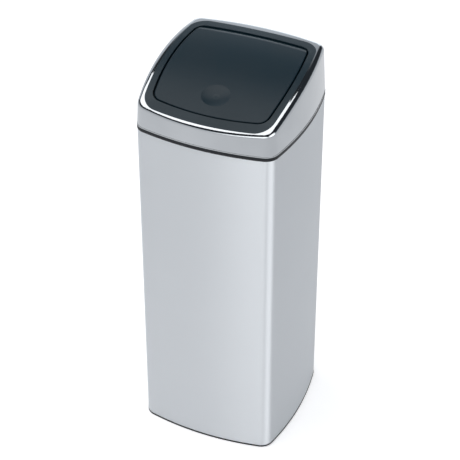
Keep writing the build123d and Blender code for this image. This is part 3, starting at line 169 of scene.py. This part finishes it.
def uneven_patches():
    """Slow variation over a surface, as from handling and cleaning, from 0 to 1."""
    group, given, result = new_group("uneven_patches", Scale=7.0)
    links = group.links
    place = group.nodes.new("ShaderNodeTexCoord")
    clouds = add_node(group, "ShaderNodeTexNoise", Detail=3.0, Roughness=0.5)
    links.new(place.outputs["Object"], clouds.inputs["Vector"])
    links.new(given.outputs["Scale"], clouds.inputs["Scale"])
    spread = map_range(group, clouds.outputs["Fac"], start=0.3, end=0.7)
    links.new(spread, result.inputs["Mask"])
    return group


def edge_wear():
    """Rubbed outer edges: 1 on a sharp edge, 0 on flat stretches, broken up by noise."""
    group, given, result = new_group("edge_wear", Start=0.52, Full=0.62)
    links = group.links
    place = group.nodes.new("ShaderNodeTexCoord")
    shape = group.nodes.new("ShaderNodeNewGeometry")
    edge = group.nodes.new("ShaderNodeMapRange")
    links.new(shape.outputs["Pointiness"], edge.inputs["Value"])
    links.new(given.outputs["Start"], edge.inputs["From Min"])
    links.new(given.outputs["Full"], edge.inputs["From Max"])
    breaks = add_node(group, "ShaderNodeTexNoise", Scale=90.0, Detail=4.0)
    links.new(place.outputs["Object"], breaks.inputs["Vector"])
    worn = calculate(group, "MULTIPLY", edge.outputs["Result"], breaks.outputs["Fac"])
    links.new(worn, result.inputs["Mask"])
    return group


EFFECTS = {
    "lines": brushed_lines(),
    "grain": moulded_grain(),
    "patches": uneven_patches(),
    "wear": edge_wear(),
}


def place_effect(tree, effect, **values):
    """An effect's group in a material, with its own values; gives the mask."""
    node = tree.nodes.new("ShaderNodeGroup")
    node.node_tree = EFFECTS[effect]
    for name, value in values.items():
        node.inputs[name].default_value = value
    return node.outputs["Mask"]


# ---------------------------------------------------------------- finishes


def new_material(name, metallic, **constants):
    """A material with its shader; the values that are the same all over are set on the shader."""
    material = bpy.data.materials.new(name)
    material.use_nodes = True
    tree = material.node_tree
    shader = next(n for n in tree.nodes if n.type == "BSDF_PRINCIPLED")
    shader.inputs["Metallic"].default_value = metallic
    for socket, value in constants.items():
        shader.inputs[socket.replace("_", " ")].default_value = value
    return material, tree, shader


def dress(tree, shader, colour, gloss_mask, smooth, rough, relief_mask, depth, height):
    """Gives the shader its colour, a roughness from smooth to rough, and its relief."""
    bump = add_node(tree, "ShaderNodeBump", Strength=depth, Distance=height)
    roughness = map_range(tree, gloss_mask, 0.0, 1.0, low=smooth, high=rough)
    tree.links.new(relief_mask, bump.inputs["Height"])
    tree.links.new(colour, shader.inputs["Base Color"])
    tree.links.new(roughness, shader.inputs["Roughness"])
    tree.links.new(bump.outputs["Normal"], shader.inputs["Normal"])


def brushed_metal(name, light, dark, smooth, rough, along, across, depth):
    """Brushed steel: streaks in roughness and relief, over slow patches of tone."""
    # the shader's own stretch spreads what the steel mirrors up and down
    material, tree, shader = new_material(
        name, metallic=1.0, Anisotropic=0.88, Anisotropic_Rotation=0.25
    )
    lines = place_effect(tree, "lines", Along=along, Across=across)
    patches = place_effect(tree, "patches", Scale=5.0)
    streaked = mix_colours(tree, lines, dark, light)
    share = map_range(tree, patches, 0.0, 1.0, high=STREAKS_IN_PATCH)
    toned = mix_colours(tree, share, light, streaked)
    dress(tree, shader, toned, lines, smooth, rough, lines, depth, BRUSHING_HEIGHT)
    return material


def polished_metal(name, light, dark, smooth, rough):
    """Polished metal with a trace of polishing haze."""
    material, tree, shader = new_material(name, metallic=1.0)
    haze = place_effect(tree, "patches", Scale=9.0)
    lines = place_effect(tree, "lines", Along=20.0, Across=500.0)
    toned = mix_colours(tree, haze, light, dark)
    dress(tree, shader, toned, haze, smooth, rough, lines, POLISHING_DEPTH, BRUSHING_HEIGHT)
    return material


def moulded_plastic(name, tone, worn_tone, smooth, rough, grain, depth, specular=0.5):
    """Moulded plastic or rubber: fine grain, slow patches and paler rubbed edges."""
    material, tree, shader = new_material(name, metallic=0.0, Specular_IOR_Level=specular)
    pits = place_effect(tree, "grain", Scale=grain)
    patches = place_effect(tree, "patches", Scale=8.0)
    wear = place_effect(tree, "wear")
    darker = tuple(channel * PATCH_ON_PLASTIC for channel in tone)
    toned = mix_colours(tree, patches, tone, darker)
    worn = mix_colours(tree, wear, toned, worn_tone)
    dress(tree, shader, worn, patches, smooth, rough, pits, depth, GRAIN_HEIGHT)
    return material


FINISHES = {
    "steel_satin": brushed_metal(
        "satin_steel",
        light=(0.81, 0.835, 0.86),
        dark=(0.74, 0.765, 0.795),
        smooth=0.44,
        rough=0.54,
        along=6.0,
        across=900.0,
        depth=0.10,
    ),
    "steel_polished": polished_metal(
        "polished_steel",
        light=(0.54, 0.56, 0.58),
        dark=(0.48, 0.50, 0.52),
        smooth=0.04,
        rough=0.08,
    ),
    "black_plastic": moulded_plastic(
        "black_plastic",
        tone=(0.012, 0.016, 0.020),
        worn_tone=(0.05, 0.05, 0.055),
        smooth=0.42,
        rough=0.52,
        grain=2200.0,
        depth=0.25,
        specular=0.3,
    ),
    "dark_plastic": moulded_plastic(
        "dark_plastic",
        tone=(0.006, 0.021, 0.032),
        worn_tone=(0.035, 0.05, 0.06),
        smooth=0.30,
        rough=0.38,
        grain=2600.0,
        depth=0.20,
        specular=0.28,
    ),
    "grey_plastic": moulded_plastic(
        "grey_plastic",
        tone=(0.20, 0.21, 0.22),
        worn_tone=(0.28, 0.29, 0.30),
        smooth=0.40,
        rough=0.50,
        grain=1800.0,
        depth=0.25,
    ),
    "white_plastic": moulded_plastic(
        "white_plastic",
        tone=(0.74, 0.74, 0.71),
        worn_tone=(0.80, 0.80, 0.78),
        smooth=0.25,
        rough=0.34,
        grain=1800.0,
        depth=0.10,
    ),
    "rubber": moulded_plastic(
        "rubber",
        tone=(0.022, 0.022, 0.023),
        worn_tone=(0.06, 0.06, 0.06),
        smooth=0.70,
        rough=0.82,
        grain=1500.0,
        depth=0.40,
        specular=0.3,
    ),
    "zinc_steel": brushed_metal(
        "zinc_steel",
        light=(0.62, 0.62, 0.60),
        dark=(0.50, 0.51, 0.50),
        smooth=0.28,
        rough=0.40,
        along=60.0,
        across=500.0,
        depth=0.08,
    ),
    "spring_steel": brushed_metal(
        "spring_steel",
        light=(0.50, 0.50, 0.50),
        dark=(0.38, 0.38, 0.39),
        smooth=0.22,
        rough=0.34,
        along=80.0,
        across=700.0,
        depth=0.06,
    ),
    "magnet": polished_metal(
        "nickel_magnet",
        light=(0.68, 0.66, 0.62),
        dark=(0.58, 0.57, 0.55),
        smooth=0.12,
        rough=0.2,
    ),
}

for subpart in frame["record"]["subparts"]:
    node = nodes[subpart["node"]]
    node.data.materials.clear()
    node.data.materials.append(FINISHES[subpart["material_slot"]])

# ---------------------------------------------------------------- floor


def add_floor():
    """A pale floor that the camera sees as white, with the object's shadow on it."""
    bpy.ops.object.select_all(action="DESELECT")
    bpy.ops.mesh.primitive_plane_add(size=2 * FLOOR_HALF, location=(0.0, 0.0, 0.0))
    floor = bpy.context.object
    floor.name = "floor"
    material = bpy.data.materials.new("pale_floor")
    material.use_nodes = True
    tree = material.node_tree
    tree.nodes.clear()
    output = tree.nodes.new("ShaderNodeOutputMaterial")
    seen_by = tree.nodes.new("ShaderNodeLightPath").outputs
    in_metal = calculate(tree, "MULTIPLY", seen_by["Is Glossy Ray"], FLOOR_GLOW_IN_METAL)
    strength = calculate(tree, "MULTIPLY_ADD", seen_by["Is Camera Ray"], FLOOR_GLOW, in_metal)
    pale = add_node(tree, "ShaderNodeBsdfDiffuse", Color=(*FLOOR_TONE, 1.0))
    glow = tree.nodes.new("ShaderNodeEmission")
    both = tree.nodes.new("ShaderNodeAddShader")
    tree.links.new(strength, glow.inputs["Strength"])
    tree.links.new(pale.outputs["BSDF"], both.inputs[0])
    tree.links.new(glow.outputs["Emission"], both.inputs[1])
    tree.links.new(both.outputs["Shader"], output.inputs["Surface"])
    floor.data.materials.append(material)


add_floor()

# ---------------------------------------------------------------- world and lamp


def mirrored_room(tree):
    """The colour that metal and gloss see: pale horizon, dark walls and soft panels."""
    way = tree.nodes.new("ShaderNodeTexCoord").outputs["Generated"]
    axes = tree.nodes.new("ShaderNodeSeparateXYZ")
    tree.links.new(way, axes.inputs["Vector"])
    level = map_range(tree, axes.outputs["Z"], HORIZON_TOP, HORIZON_FOOT, easing="SMOOTHSTEP")
    room = mix_colours(tree, level, WALL_TONE, HORIZON_TONE)
    for middle, edge, full, tone in PANELS:
        nearness = add_node(tree, "ShaderNodeVectorMath", operation="DOT_PRODUCT")
        nearness.inputs[1].default_value = middle
        tree.links.new(way, nearness.inputs[0])
        panel = map_range(tree, nearness.outputs["Value"], edge, full, easing="SMOOTHSTEP")
        room = mix_colours(tree, panel, room, tone)
    return room


def set_world():
    """White behind the object, the mirrored room in metal, and even light on the rest."""
    world = bpy.data.worlds.new("studio")
    bpy.context.scene.world = world
    world.use_nodes = True
    tree = world.node_tree
    tree.nodes.clear()
    output = tree.nodes.new("ShaderNodeOutputWorld")
    seen_by = tree.nodes.new("ShaderNodeLightPath").outputs
    backdrop = add_node(
        tree, "ShaderNodeBackground", Color=(*BACKDROP_TONE, 1.0), Strength=1.0
    )
    mirrored = add_node(tree, "ShaderNodeBackground", Strength=1.0)
    soft = add_node(
        tree, "ShaderNodeBackground", Color=(*SOFT_TONE, 1.0), Strength=SOFT_STRENGTH
    )
    tree.links.new(mirrored_room(tree), mirrored.inputs["Color"])
    light = soft.outputs["Background"]
    for ray, sight in (("Is Glossy Ray", mirrored), ("Is Camera Ray", backdrop)):
        choice = tree.nodes.new("ShaderNodeMixShader")
        tree.links.new(seen_by[ray], choice.inputs["Fac"])
        tree.links.new(light, choice.inputs[1])
        tree.links.new(sight.outputs["Background"], choice.inputs[2])
        light = choice.outputs["Shader"]
    tree.links.new(light, output.inputs["Surface"])


def hang_lamp():
    """One large soft lamp overhead, turned to the bin."""
    lamp_data = bpy.data.lights.new("overhead_lamp", "AREA")
    lamp_data.shape = "SQUARE"
    lamp_data.size = LAMP_SIZE
    lamp_data.energy = LAMP_WATTS
    lamp = bpy.data.objects.new("overhead_lamp", lamp_data)
    right, ahead, up = (t - p for t, p in zip(LAMP_TARGET, LAMP_PLACE))
    tilt = math.atan2(math.hypot(right, ahead), -up)
    lamp.location = LAMP_PLACE
    lamp.rotation_euler = (tilt, 0.0, math.atan2(-right, ahead))
    bpy.context.scene.collection.objects.link(lamp)


set_world()
hang_lamp()

# ---------------------------------------------------------------- camera

camera_data = bpy.data.cameras.new("camera")
camera_data.sensor_width = SENSOR_WIDTH
camera_data.lens = CAMERA_LENS
camera = bpy.data.objects.new("camera", camera_data)
camera.location = CAMERA_PLACE
camera.rotation_euler = (math.radians(90.0 - CAMERA_DROP), 0.0, math.radians(CAMERA_TURN))
bpy.context.scene.collection.objects.link(camera)
bpy.context.scene.camera = camera
bpy.context.scene.view_settings.view_transform = "Standard"
